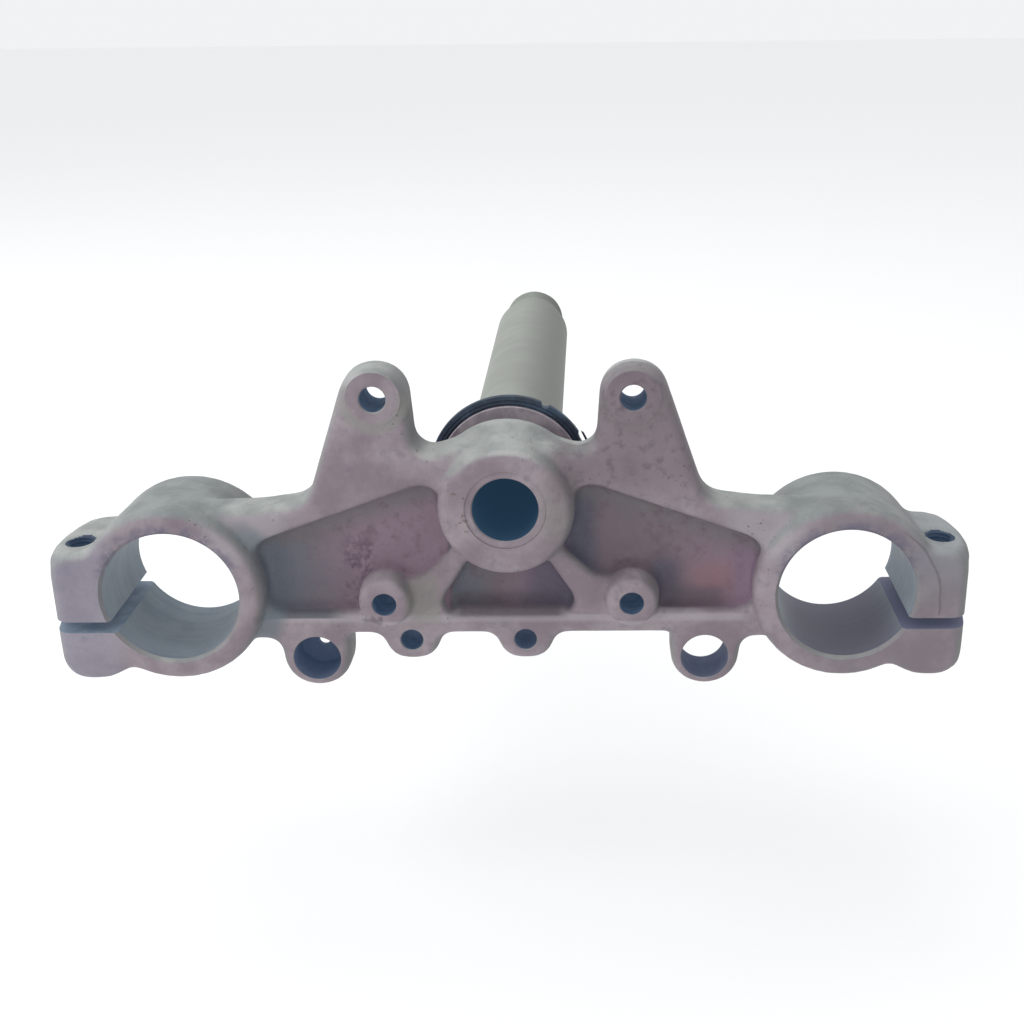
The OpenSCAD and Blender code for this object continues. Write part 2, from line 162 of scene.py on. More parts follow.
class Finish:
    # a material in the making
    def __init__(self, name):
        self.material = bpy.data.materials.new(name)
        self.material.use_nodes = True
        self.tree = self.material.node_tree
        self.shader = self.tree.nodes["Principled BSDF"]
        self.place = self.node("ShaderNodeTexCoord", out="Object")
        self.facing = self.node("ShaderNodeSeparateXYZ", {}, {0: self.place.also("Normal")}, "X")
        self.across = self.node("ShaderNodeSeparateXYZ", {}, {0: self.place}, "X")

    def node(self, kind, settings=None, sockets=None, out=0):
        made = self.tree.nodes.new(kind)
        for key, value in (settings or {}).items():
            if key == "stops":
                for i, (at, colour) in enumerate(value):
                    stop = made.color_ramp.elements[i] if i < 2 else made.color_ramp.elements.new(at)
                    stop.position, stop.color = at, (*colour, 1)
            else:
                setattr(made, key, value)
        for key, value in (sockets or {}).items():
            self.feed(made.inputs[key], value)
        return Wire(self, made.outputs[out])

    def feed(self, socket, value):
        if isinstance(value, Wire):
            self.tree.links.new(value.socket, socket)
        elif isinstance(value, tuple) and socket.type == "RGBA":
            socket.default_value = (*value, 1)
        else:
            socket.default_value = value

    def noise(self, size, detail=2, rough=0.5, stretch=None):  # size of one blotch in mm
        at = self.place
        if stretch:
            at = self.node("ShaderNodeVectorMath", {"operation": "MULTIPLY"}, {0: at, 1: stretch})
        sockets = {"Vector": at, "Scale": 1 / (size * mm), "Detail": detail, "Roughness": rough}
        return self.node("ShaderNodeTexNoise", {}, sockets)

    def ramp(self, value, low, high):  # from 0 at low to 1 at high, which may be the smaller
        sockets = {"Value": value, "From Min": low, "From Max": high}
        return self.node("ShaderNodeMapRange", {"interpolation_type": "SMOOTHSTEP"}, sockets)

    def window(self, value, start, full, stay, end):  # up from start to full, down from stay to end
        if end is None:
            return self.ramp(value, start, full)
        if start is None:
            return self.ramp(value, end, stay)
        return self.ramp(value, start, full) * self.ramp(value, end, stay)

    def length(self, a, b):
        return self.node("ShaderNodeMath", {"operation": "SQRT"}, {0: a * a + b * b})

    def blend(self, a, b, amount):
        return self.node("ShaderNodeMix", {"data_type": "RGBA"}, {0: amount, 6: a, 7: b}, 2)

    def finish(self, baseColor, roughness=0.5, metallic=0.0, bump=None, depth=0.1, specular=0.5, glow=None):
        self.feed(self.shader.inputs["Base Color"], baseColor)
        self.feed(self.shader.inputs["Roughness"], roughness)
        self.feed(self.shader.inputs["Metallic"], metallic)
        self.shader.inputs["Specular IOR Level"].default_value = specular
        if bump:
            sockets = {"Strength": 1.0, "Distance": depth * mm, "Height": bump}
            relief = self.node("ShaderNodeBump", {}, sockets)
            self.feed(self.shader.inputs["Normal"], relief)
        if glow:
            self.feed(self.shader.inputs["Emission Color"], glow)
            self.shader.inputs["Emission Strength"].default_value = 1


def tone(*screen):  # red, green and blue from 0 to 255, as the shader wants them
    return tuple(c / 255 / 12.92 if c <= 10 else ((c / 255 + 0.055) / 1.055) ** 2.4 for c in screen)


# making meshes
def newMesh(name, points, faces):
    data = bpy.data.meshes.new(name)
    data.from_pydata([tuple(p) for p in points], [], [tuple(f) for f in faces])
    data.update()
    made = bpy.data.objects.new(name, data)
    bpy.context.scene.collection.objects.link(made)
    return made


def ringFaces(rings, around):
    faces = []
    for low in range(0, (rings - 1) * around, around):
        for i in range(around):
            j = (i + 1) % around
            faces.append((low + i, low + j, low + around + j, low + around + i))
    return faces


def rodFaces(rings, around):  # with both ends closed
    last = (rings - 1) * around
    return ringFaces(rings, around) + [tuple(range(around))[::-1], tuple(range(last, last + around))]


def loopFaces(rings, around):  # with the last ring joined to the first
    last = (rings - 1) * around
    closing = [(last + i, last + (i + 1) % around, (i + 1) % around, i) for i in range(around)]
    return ringFaces(rings, around) + closing


def solidRod(profile, around, wave=None):
    # closed rod round +Y through (radius, height) pairs in mm; wave(angle, height) is added to the radius
    points = []
    for r, y in profile:
        for i in range(around):
            a = 2 * math.pi * i / around
            reach = r + (wave(a, y) if wave else 0)
            points.append((reach * math.cos(a) * mm, y * mm, -reach * math.sin(a) * mm))
    return points, [f[::-1] for f in rodFaces(len(profile), around)]


def hollowRing(profile, around):
    # ring round +Y whose section is a closed loop of (radius, height) pairs in mm
    points, _ = solidRod(profile, around)
    return points, [f[::-1] for f in loopFaces(len(profile), around)]


def moved(shape, x, z, y=0, upright=False):
    # the shape, shifted in mm, and turned so that its axis is +Z when upright
    points, faces = shape
    if upright:
        points = [(px, -pz, py) for px, py, pz in points]
    return [(px + x * mm, py + y * mm, pz + z * mm) for px, py, pz in points], faces


def joined(name, shapes):
    points, faces = [], []
    for shapePoints, shapeFaces in shapes:
        start = len(points)
        points += shapePoints
        faces += [tuple(i + start for i in f) for f in shapeFaces]
    made = newMesh(name, points, faces)
    outward(made)
    return made


def outward(piece):
    body = bmesh.new()
    body.from_mesh(piece.data)
    bmesh.ops.recalc_face_normals(body, faces=body.faces)
    body.to_mesh(piece.data)
    body.free()


def applied(piece):
    # bakes the piece's modifiers into its mesh
    graph = bpy.context.evaluated_depsgraph_get()
    graph.update()
    data = bpy.data.meshes.new_from_object(piece.evaluated_get(graph))
    piece.modifiers.clear()
    piece.data = data
    return piece


def combine(piece, other, operation):
    knife = piece.modifiers.new("combine", "BOOLEAN")
    knife.operation, knife.object, knife.solver = operation, other, "MANIFOLD"
    applied(piece)
    bpy.data.objects.remove(other)


def cut(piece, cutter):
    combine(piece, cutter, "DIFFERENCE")


def add(piece, lump):
    combine(piece, lump, "UNION")


def rounded(piece, sharpAngle):
    # smooth shading with crisp edges where faces meet at more than the angle
    body = bmesh.new()
    body.from_mesh(piece.data)
    for face in body.faces:
        face.smooth = True
    for edge in body.edges:
        edge.smooth = len(edge.link_faces) == 2 and edge.calc_face_angle(0) < math.radians(sharpAngle)
    body.to_mesh(piece.data)
    body.free()


def helix(pitch, depth):
    # V thread as a change of radius
    def wave(angle, height):
        turn = (height / pitch - angle / (2 * math.pi)) % 1
        return -depth * abs(2 * turn - 1)
    return wave


def levels(low, high, step):
    count = max(1, round((high - low) / step))
    return [low + (high - low) * i / count for i in range(count + 1)]


# the cast yoke
yoke = {
    "voxel": 0.8,
    "smoothing": 13,
    "mostFaces": 150000,
    "unevenness": 0.10,
    "sharpAngle": 32,
    "forkR": 15,  # a hole wider than this is a fork bore
    "fillSpare": 0.6,  # how far a filling reaches past its hole
    "fillSink": 0.02,  # and how far it stays below the faces
    "holeEdge": 0.35,  # edge break of the drilled holes
    "forkEdge": 1.0,
    "spigotR": 12.0,
    "hubFaceZ": -14.2,  # a point on the hub's face
    "pad": (8.2, 0.9),  # radius and bevel of the ears' raised pads
    "slit": (-37.0, 3.6),  # height and width
    "boltD": 8.0,
    "threadPitch": 1.25,
    "threadTop": -11,
    "mouth": 0.7,
    "mouthZ": -14.0,
    "mouthLean": 15,  # degrees towards the front
    "mouthReach": 7,
    "lugCorner": (4.2, 5.0),  # radius at the upper and the lower corner
    "lowerLugZ": -55.5,
    "spot": (6.5, 0.8),  # radius and depth of the spot faces
}


def drilledHoles():
    # every hole along the stem as x, z, radius and a blind end or None, in mm
    found = []
    for name, m in mounts.items():
        x, y, z = (c / mm for c in m["pos_m"])
        if m["kind"] == "bolt_pattern":
            half = m["dims"]["spacing_x_mm"] / 2
            found += [(x + side * half, z, m["dims"]["hole_r_mm"], None) for side in (-1, 1)]
        elif name.startswith("stop_hole_") or name.startswith("fork_"):
            blind = y + m["dims"]["length_mm"] / 2 if name == "stop_hole_left" else None
            found.append((x, z, m["dims"]["r_mm"], blind))
    return found


def leaned(shape, y, z, degrees):
    # the shape turned round a line along x, its top to the front
    turn, hub = Matrix.Rotation(math.radians(degrees), 3, "X"), Vector((0, y * mm, z * mm))
    return [tuple(turn @ (Vector(p) - hub) + hub) for p in shape[0]], shape[1]


def facesAt(piece, x, z):
    # heights in mm of the nearest and the farthest face on a line along the stem
    _, near, _, _ = piece.ray_cast(Vector((x * mm, -1, z * mm)), Vector((0, 1, 0)))
    _, far, _, _ = piece.ray_cast(Vector((x * mm, 1, z * mm)), Vector((0, -1, 0)))
    return near.y / mm, far.y / mm


def slitFiller(piece):
    # closes both clamping slits, so that they can be sawn again with crisp edges
    z, width = yoke["slit"]
    body = bmesh.new()
    body.from_mesh(piece.data)
    level = (z + width / 2 + 0.3) * mm
    everything = body.verts[:] + body.edges[:] + body.faces[:]
    got = bmesh.ops.bisect_plane(body, geom=everything, plane_co=(0, 0, level), plane_no=(0, 0, 1))
    outer = abs(mounts["fork_right"]["pos_m"][0]) + 0.008
    sawn = [e for e in got["geom_cut"] if isinstance(e, bmesh.types.BMEdge)]
    rim = [e for e in sawn if all(abs(v.co.x) > outer for v in e.verts)]
    keep = {v for e in rim for v in e.verts}
    others = [e for e in body.edges if e not in set(rim)]
    bmesh.ops.delete(body, geom=body.faces[:], context="FACES_ONLY")
    bmesh.ops.delete(body, geom=[e for e in others if e.is_valid], context="EDGES")
    bmesh.ops.delete(body, geom=[v for v in body.verts if v not in keep], context="VERTS")
    bmesh.ops.remove_doubles(body, verts=body.verts[:], dist=1e-6)
    sheet = bmesh.ops.contextual_create(body, geom=body.edges[:])["faces"] or body.faces[:]
    grown = bmesh.ops.extrude_face_region(body, geom=sheet)["geom"]
    for v in (g for g in grown if isinstance(g, bmesh.types.BMVert)):
        v.co.z -= (width + 0.6) * mm
    bmesh.ops.recalc_face_normals(body, faces=body.faces)
    filler = newMesh("slitFiller", [], [])
    body.to_mesh(filler.data)
    body.free()
    return filler


def lugCorners(piece):
    # rods along the outer corners of the pinch lugs, which are fuller than the turned radius
    fork = mounts["fork_right"]
    near, far = (fork["pos_m"][1] / mm + half * fork["dims"]["length_mm"] / 2 for half in (-1, 1))
    fromEnd, fromSlit, inwards, around = 3.2, 7, 8, 32
    rods = []
    for side in (-1, 1):
        for radius, up in zip(yoke["lugCorner"], (1, -1)):
            level = (yoke["slit"][0] + fromSlit * up) * mm
            outer, edges = [], []
            for y in levels(near + fromEnd, far - fromEnd, 2):
                _, out, _, _ = piece.ray_cast(Vector((side, y * mm, level)), Vector((-side, 0, 0)))
                outer.append((out.x / mm, y))
            for x, y in (outer[0], outer[-1]):  # both ends are clear of the bolt hole
                above = Vector(((x - side * inwards) * mm, y * mm, up))
                _, edge, _, _ = piece.ray_cast(above, Vector((0, 0, -up)))
                edges.append(edge.z / mm)
            fall = (edges[1] - edges[0]) / (outer[-1][1] - outer[0][1])
            r = radius * 0.98
            points = []
            for x, y in outer:
                cx, cz = x - side * radius, edges[0] + fall * (y - outer[0][1]) - up * radius
                for i in range(around):
                    a = 2 * math.pi * i / around
                    points.append(((cx + r * math.cos(a)) * mm, y * mm, (cz + r * math.sin(a)) * mm))
            rods.append((points, rodFaces(len(outer), around)))
    return joined("lugCorners", rods)


def filledYoke(source, holes, spans, hubNear):
    # the solid with its holes and slits closed and its lug corners full
    spare, sink = yoke["fillSpare"], yoke["fillSink"]
    plugs = []
    for (x, z, r, _), (near, far) in zip(holes, spans):
        reach = r + (yoke["forkEdge"] + 0.2 if r > yoke["forkR"] else spare)
        plugs.append(moved(solidRod([(reach, near + sink), (reach, far - sink)], 64), x, z))
    reach = yoke["spigotR"] + spare
    plugs.append(solidRod([(reach, hubNear + sink), (reach, -sink)], 64))
    piece = bpy.data.objects.new("castYoke", source.data.copy())
    bpy.context.scene.collection.objects.link(piece)
    filling = [piece, joined("plugs", plugs), slitFiller(source), lugCorners(source)]
    with bpy.context.temp_override(active_object=piece, object=piece, selected_editable_objects=filling):
        bpy.ops.object.join()
    print("yoke: holes and slits filled")
    return piece


def meltSkin(piece):
    # the soft, slightly uneven skin of a casting
    voxels = piece.modifiers.new("voxels", "REMESH")
    voxels.mode, voxels.voxel_size = "VOXEL", yoke["voxel"] * mm
    melt = piece.modifiers.new("melt", "SMOOTH")
    melt.iterations, melt.factor = yoke["smoothing"], 0.5
    sand = bpy.data.textures.new("castUnevenness", "CLOUDS")
    sand.noise_scale = 0.006
    rough = piece.modifiers.new("unevenness", "DISPLACE")
    rough.texture, rough.strength, rough.texture_coords = sand, yoke["unevenness"] * mm, "GLOBAL"
    rough.mid_level = 1.0
    applied(piece)
    print("yoke: melted mesh of", len(piece.data.polygons), "faces")
    fewer = piece.modifiers.new("fewer", "DECIMATE")
    fewer.ratio = min(1, yoke["mostFaces"] / (2 * len(piece.data.polygons)))
    applied(piece)


def addEarPads(piece, holes, spans):
    width, bevel = yoke["pad"]
    pads = []
    for (x, z, _, _), (near, _) in zip(holes, spans):
        if z > 0:
            edge = [(width + 0.2, near + 1.6), (width, near + 0.5), (width - 0.25, near + 0.15)]
            pads.append(moved(solidRod(edge + [(width - bevel, near), (2, near)], 64), x, z))
    add(piece, joined("earPads", pads))


def drillHoles(piece, holes, spans, hubNear):
    drills = []
    for (x, z, r, blind), (near, far) in zip(holes, spans):
        edge = yoke["forkEdge"] if r > yoke["forkR"] else yoke["holeEdge"]
        end = [(r, blind)] if blind else [(r, far - edge), (r + edge + 1, far + 1)]
        profile = [(r + edge + 1, near - 1), (r, near + edge)] + end
        drills.append(moved(solidRod(profile, 96 if r > 5 else 48), x, z))
    r = yoke["spigotR"]
    drills.append(solidRod([(r + 0.8, hubNear - 0.8), (r, hubNear), (r, 1)], 96))
    cut(piece, joined("drills", drills))
    small = mounts["stop_small_hole"]  # cut by itself, as it starts inside another hole
    x, y, z = (c / mm for c in small["pos_m"])
    r = small["dims"]["r_mm"]
    cut(piece, joined("smallDrill", [moved(solidRod([(r, y - 3), (r, y + 3)], 48), x, z)]))


def sawSlits(piece):
    z, width = yoke["slit"]
    start = abs(mounts["fork_right"]["pos_m"][0])
    box = [(0, 1, 3, 2), (4, 6, 7, 5), (0, 4, 5, 1), (2, 3, 7, 6), (0, 2, 6, 4), (1, 5, 7, 3)]
    saws = []
    for side in (-1, 1):
        xs = sorted((side * start, side * (start + 0.05)))
        heights = ((z - width / 2) * mm, (z + width / 2) * mm)
        saws.append(([(x, y, height) for height in heights for y in (-0.04, 0.02) for x in xs], box))
    cut(piece, joined("saws", saws))


def tapLugs(piece):
    thread = helix(yoke["threadPitch"], 0.54 * yoke["threadPitch"])
    middle, (spot, depth) = yoke["slit"][0], yoke["spot"]
    bottom, top, c = yoke["lowerLugZ"] + depth, yoke["mouthZ"], yoke["mouth"]
    taps, mouths, bolts = [], [], []
    for side in ("left", "right"):
        tapped, plain = mounts["pinch_thread_" + side], mounts["pinch_hole_" + side]
        x, y, _ = (p / mm for p in tapped["pos_m"])
        turns = [(yoke["boltD"] / 2, h) for h in levels(middle, yoke["threadTop"], 0.155)]
        taps.append(moved(solidRod(turns, 48, thread), x, 0, y, True))
        r = tapped["dims"]["r_mm"]
        cone = moved(solidRod([(0.4, top - c - r + 0.4), (r + c + 2.6, top + 2.6)], 64), x, 0, y, True)
        mouths.append(leaned(cone, y, top - c, yoke["mouthLean"]))
        r = plain["dims"]["r_mm"]
        profile = [(spot, bottom - 3), (spot, bottom), (r, bottom), (r, middle)]
        bolts.append(moved(solidRod(profile, 64), x, 0, y, True))
    cut(piece, joined("taps", taps))
    cut(piece, joined("mouths", mouths))
    cut(piece, joined("boltHoles", bolts))


def castYoke():
    source = frame["nodes"]["lower_yoke"]
    holes = drilledHoles()
    spans = []
    for x, z, r, _ in holes:
        toHub = Vector((-x, 0, -z)).normalized() * (r + 0.9)  # the body is on that side of every hole
        spans.append(facesAt(source, x + toHub.x, z + toHub.z))
    hubNear, _ = facesAt(source, 0, yoke["hubFaceZ"])
    piece = filledYoke(source, holes, spans, hubNear)
    meltSkin(piece)
    addEarPads(piece, holes, spans)
    drillHoles(piece, holes, spans, hubNear)
    sawSlits(piece)
    tapLugs(piece)
    rounded(piece, yoke["sharpAngle"])
    print("yoke: cut mesh of", sum(len(f.vertices) - 2 for f in piece.data.polygons), "triangles")
    return piece, holes


# where each mark of the casting, or of painted light and shade, starts, is full, stays full and ends, in mm;
# None leaves that side open
# aside is x without its sign; barrel, beyond and over are measured from the axis of the nearer fork bore
marksAndLight = {
    "rust": {"x": (50, 62, 64, 73), "z": (-36, -29, -26, -19)},
    "navyByHub": {"x": (0, 10, 22, 30), "z": (None, None, -6, 4)},
    "navyByBoss": {"x": (40, 46, 48, 55), "z": (-37, -31, -25, -17)},
    "sootMiddle": {"x": (-18, -15, 13, 18), "z": (None, None, -33.5, -30)},
    "sootRight": {"x": (42, 50, 62, 69), "z": (None, None, -32.5, -28.5)},
    "purpleEnd": {"x": (66, 73, None, None), "below": (3, 10, None, None)},
    "barrelTop": {
        "barrel": (None, None, 30, 32.5), "beyond": (None, None, 10, 18), "over": (12, 18, None, None),
    },
    "glint": {"y": (None, None, -10, -4), "z": (3, 8, None, None)},
    "lip": {"z": (-38.8, -37.2, -36.2, -35.2), "aside": (None, None, 70, 74.5), "y": (None, None, -21, -19)},
    "arms": {"aside": (60, 70, 84, 92), "z": (-20, -13, None, None), "y": (None, None, -21, -19)},
    "edgeLeft": {"x": (-77.5, -74.5, -56, -48), "z": (-37, -36.4, -34.5, -33.5)},
    "edgeMiddle": {"aside": (None, None, 14, 16.5), "z": (-37, -36.4, -34.5, -33)},
    "leftClamp": {"x": (None, None, -124, -112)},
    "rightClamp": {"x": (80, 100, None, None)},
    "rightLug": {"x": (114, 124, None, None), "z": (-34, -16, None, None)},
    "leftRib": {"x": (-34, -30, -20, -16), "z": (-36, -31, -20, -15)},
    "valley": {
        "barrel": (26.5, 28.5, 31.5, 36), "beyond": (None, None, -22, -10),
        "z": (None, None, -10, -2), "x": (None, None, -10, 0),
    },
    "olive": {"x": (-31.5, -28.5, -22.5, -19.5), "z": (-40, -36, -25, -20)},
    "rightEar": {"x": (10, 18, None, None), "z": (-4, 10, None, None), "y": (None, None, -18, -16)},
    "hubSpots": {"x": (-18, -16, -12, -10), "z": (-10, -7, 7, 10)},
    "besideBoss": {"z": (-36, -31, -18, -10)},
    "underBoss": {"x": (-46, -43, -37, -33), "z": (-39, -37, -34.5, -32.5)},
    "seam": {"beyond": (14, 19, None, None), "over": (-7.8, -6, None, None), "x": (0, 1, None, None)},
    "grime": {"barrel": (None, None, 21.5, 25.5), "over": (2, 12, None, None)},
}


def castFinish():
    f = Finish("castAluminium")
    x, y, z = f.across, f.across.also("Y"), f.across.also("Z")
    towardsY, towardsZ = f.facing.also("Y"), f.facing.also("Z")
    broad, patch, mottle = f.noise(34, 3), f.noise(11, 4, 0.6), f.noise(3.2, 3, 0.6)
    grain, sand = f.noise(0.55, 2, 0.6), f.noise(1.3, 2)

    forkX, forkZ = abs(mounts["fork_right"]["pos_m"][0]), mounts["fork_right"]["pos_m"][2]
    aside = x.size()
    beyond, over = aside - forkX, z - forkZ
    below = aside * -0.362 + 0.0149 - z  # under the pockets' sloping upper edge
    lines = {"x": x, "y": y, "z": z, "aside": aside, "below": below, "beyond": beyond, "over": over}
    lines["barrel"] = f.length(beyond, over)

    def mark(name):
        amount = 1
        for line, bounds in marksAndLight[name].items():
            amount = f.window(lines[line], *(b if b is None else b * mm for b in bounds)) * amount
        return amount

    face = f.blend(tone(125, 112, 121), tone(150, 139, 145), f.ramp(broad * 0.5 + patch * 0.5, 0.38, 0.62))
    face = f.blend(face, tone(112, 104, 115), f.ramp(mottle * 0.6 + patch * 0.4, 0.52, 0.68) * 0.5)

    # the pockets are dull, coloured with painted reflected light over stains: blue-grey at the left, grey
    # below their sloping edge, pink at their right end, with dark blue patches
    inPocket = f.ramp(z, -43 * mm, -41 * mm) * f.ramp(below, -1.6 * mm, 0) * f.ramp(aside, 0.0795, 0.076)
    floor = f.ramp(z, -36.2 * mm, -34.8 * mm) * inPocket * f.ramp(towardsY, 0.3, 0.05)
    floor = floor * f.window(y, -23.4 * mm, -21.4 * mm, -16 * mm, -14 * mm)
    turn = f.ramp(x, -0.084, -0.040) - f.ramp(x, -0.019, -0.017) + f.ramp(x, -0.019, 0.012)
    turn = turn - f.ramp(x, 0.018, 0.020) + f.ramp(x, 0.018, 0.030) * 0.5 + f.ramp(x, 0.045, 0.070) * 0.5
    turn = turn + f.ramp(x, 0.060, 0.074) * 0.25
    stops = [(0.12, tone(97, 104, 114)), (0.9, tone(136, 116, 131)), (0.5, tone(113, 98, 107))]
    stainsAndReflection = f.node("ShaderNodeValToRGB", {"stops": stops}, {0: turn * 0.8 + patch * 0.5 - 0.15})
    stainsAndReflection = f.blend(f.blend(stainsAndReflection, tone(108, 107, 109), 0.75), stainsAndReflection, f.ramp(below, 2 * mm, 12 * mm))
    stainsAndReflection = f.blend(stainsAndReflection, tone(96, 76, 84), f.ramp(patch * 0.5 + mottle * 0.5, 0.50, 0.66) * 0.5)
    # a reddish patch in the right pocket, with the pink of its right end
    stainsAndReflection = f.blend(stainsAndReflection, tone(150, 108, 112), mark("rust") * 0.55)
    navy = mark("navyByHub") + mark("navyByBoss")
    stainsAndReflection = f.blend(stainsAndReflection, tone(72, 74, 92), navy * (0.4 + patch * 0.7))
    stainsAndReflection = f.blend(stainsAndReflection, tone(142, 118, 142), mark("purpleEnd") * 0.7)
    # darker towards the bottom of the middle and right pockets
    darkBottom = mark("sootMiddle") + mark("sootRight")
    stainsAndReflection = f.blend(stainsAndReflection, tone(76, 68, 80), darkBottom * (0.3 + patch * 0.6))
    drift = x + (patch - 0.5) * 0.016 + (broad - 0.5) * 0.016
    slate = f.ramp(drift, -0.047, -0.067) * f.ramp(z, -0.011, -0.018)
    stainsAndReflection = f.blend(stainsAndReflection, tone(102, 111, 122), slate * 0.6)

    # upward faces are painted greener and lighter as if lit from above, but less so on top of the fork
    # barrels; the glint is a painted highlight on the front-top edges
    cloudy = f.ramp(patch, 0.35, 0.65)
    lit = f.blend(tone(136, 142, 140), tone(160, 164, 161), cloudy)
    lit = f.blend(lit, f.blend(tone(118, 125, 124), tone(136, 142, 141), cloudy), mark("barrelTop"))
    upward = f.ramp(towardsZ, 0.15, 0.9) * (1 - inPocket * 0.85)
    face = f.blend(face, lit, upward * 0.9)
    glint = f.window(towardsZ, 0.25, 0.55, 0.7, 0.95) * mark("glint") * f.ramp(f.noise(9, 2), 0.42, 0.60)
    face = f.blend(face, tone(182, 180, 181), glint * 0.5)

    # a painted highlight on the lip below the pockets, darker at its edge, painted highlights on the arms
    # and a bluish left clamp
    notUp = 1 - upward
    face = f.blend(face, tone(166, 160, 165), mark("lip") * 0.5)
    face = f.blend(face, tone(80, 82, 92), mark("edgeLeft") * 0.85)
    face = f.blend(face, tone(72, 60, 72), mark("edgeMiddle") * 0.35)
    # painted highlight on the front of the arms
    face = f.blend(face, tone(168, 162, 168), mark("arms") * notUp * 0.5)
    face = f.blend(face, tone(130, 134, 152), mark("leftClamp") * notUp * 0.4)
    face = f.blend(face, tone(114, 107, 113), mark("rightClamp") * notUp * 0.45)
    # the right pinch lug painted greyer and bluer, as shade on a face turned to the right
    face = f.blend(face, tone(126, 130, 138), mark("rightLug") * 0.5)
    hubSide = f.window(x, 0.006, 0.014, 0.021, 0.024) * f.ramp(z.size(), 0.014, 0.007)
    face = f.blend(face, tone(110, 108, 102), hubSide * 0.4)
    face = f.blend(face, tone(104, 86, 98), mark("leftRib") * 0.4)

    # edges turned sideways are painted grey-green, and painted darker where they face right, as shade
    edgeways = f.ramp(f.facing.size(), 0.35, 0.85) * (1 - inPocket)
    face = f.blend(face, tone(134, 138, 136), edgeways * 0.5)
    face = f.blend(face, tone(98, 99, 100), f.ramp(f.facing, 0.10, 0.85) * 0.7)
    # painted shade: blue-grey on the left fork barrel's flank that faces right
    face = f.blend(face, tone(106, 116, 123), mark("valley") * 0.75)
    face = f.blend(face, tone(124, 124, 116), mark("olive") * notUp * 0.5)
    face = f.blend(face, stainsAndReflection, floor * 0.92)

    # ears: a greenish hollow below each pad; the right one darker overall, with darker blotches
    earX, earZ = mounts["ear_holes"]["dims"]["spacing_x_mm"] * mm / 2, mounts["ear_holes"]["pos_m"][2]
    fromEar = f.length(aside - earX, z - earZ)
    hollow = f.window(fromEar, 0.0066, 0.0076, 0.0096, 0.0112) * f.ramp(z - earZ, 0.004, -0.004)
    face = f.blend(face, tone(134, 134, 130), hollow * 0.6)
    rightEar = mark("rightEar")
    face = f.blend(face, tone(102, 89, 97), rightEar * 0.6)
    face = f.blend(face, tone(84, 70, 82), rightEar * f.ramp(mottle * 0.7 + patch * 0.3, 0.50, 0.64) * 0.35)
    spots = f.ramp(f.noise(2.2, 3, 0.6), 0.60, 0.68)
    face = f.blend(face, tone(96, 84, 76), mark("hubSpots") * spots * 0.7)

    # dark stains in the left pocket beside the boss, and under it
    bossX = abs(mounts["boss_holes"]["dims"]["spacing_x_mm"]) * mm / 2
    beside = f.window(x + bossX, -0.016, -0.011, -0.006, -0.003) * mark("besideBoss") * floor
    beside = beside * f.ramp(f.noise(2.6, 4, 0.7) * 0.6 + patch * 0.4, 0.44, 0.56)
    face = f.blend(face, tone(84, 66, 84), beside * 0.7)
    face = f.blend(face, tone(88, 80, 92), mark("underBoss") * f.ramp(mottle, 0.46, 0.56) * 0.6)

    # a dark seam between the fork barrel and the right pinch lug
    above = f.node("ShaderNodeMath", {"operation": "MAXIMUM"}, {0: over, 1: 0.0})
    bend = f.length(beyond, above) + above * 0.12 - 0.0276
    front = f.ramp(towardsY, -0.1, -0.5) * mark("seam")
    wander = (f.noise(5, 3, 0.6) - 0.5) * 0.0014
    seam = f.ramp((bend + wander).size(), 0.00045, 0.0001) * front
    face = f.blend(face, tone(98, 90, 96), seam * 0.6)
    step = f.ramp(bend, -0.0006, 0.0016) * front

    # grime along the upper rim of the fork bores, and pits
    grime = mark("grime") * f.ramp(mottle * 0.5 + patch * 0.5, 0.40, 0.58)
    face = f.blend(face, tone(98, 94, 112), grime * 0.75)
    pits = f.ramp(f.noise(1.2, 2, 0.7), 0.66, 0.75) * f.ramp(f.noise(19, 2), 0.52, 0.62)
    face = f.blend(face, tone(84, 78, 88), pits * 0.55)
    f.finish(
        baseColor=face,
        roughness=0.54 + mottle * 0.2,
        bump=grain * 0.35 + sand * 0.4 + mottle * 0.6 - pits * 0.6 - seam * 0.4 - step * 0.6,
        depth=0.34,
        specular=0.4,
    )
    return f.material


def boreFinish():
    f = Finish("boredAluminium")
    turned = f.noise(60, 3, 0.6, (0.25, 30.0, 0.25))
    patch = f.noise(9, 3, 0.6)
    face = f.blend(tone(114, 126, 138), tone(134, 144, 154), f.ramp(patch * 0.6 + turned * 0.4, 0.35, 0.65))
    # painted shade: the upward-facing lower wall of the right bore darker
    low = f.ramp(f.across, 0.06, 0.08) * f.ramp(f.facing.also("Z"), 0.3, 0.9)
    face = f.blend(face, tone(88, 82, 100), low * 0.8)
    rough = 0.42 + patch * 0.15
    f.finish(baseColor=face, roughness=rough, metallic=0.1, bump=turned, depth=0.04, specular=0.35)
    return f.material


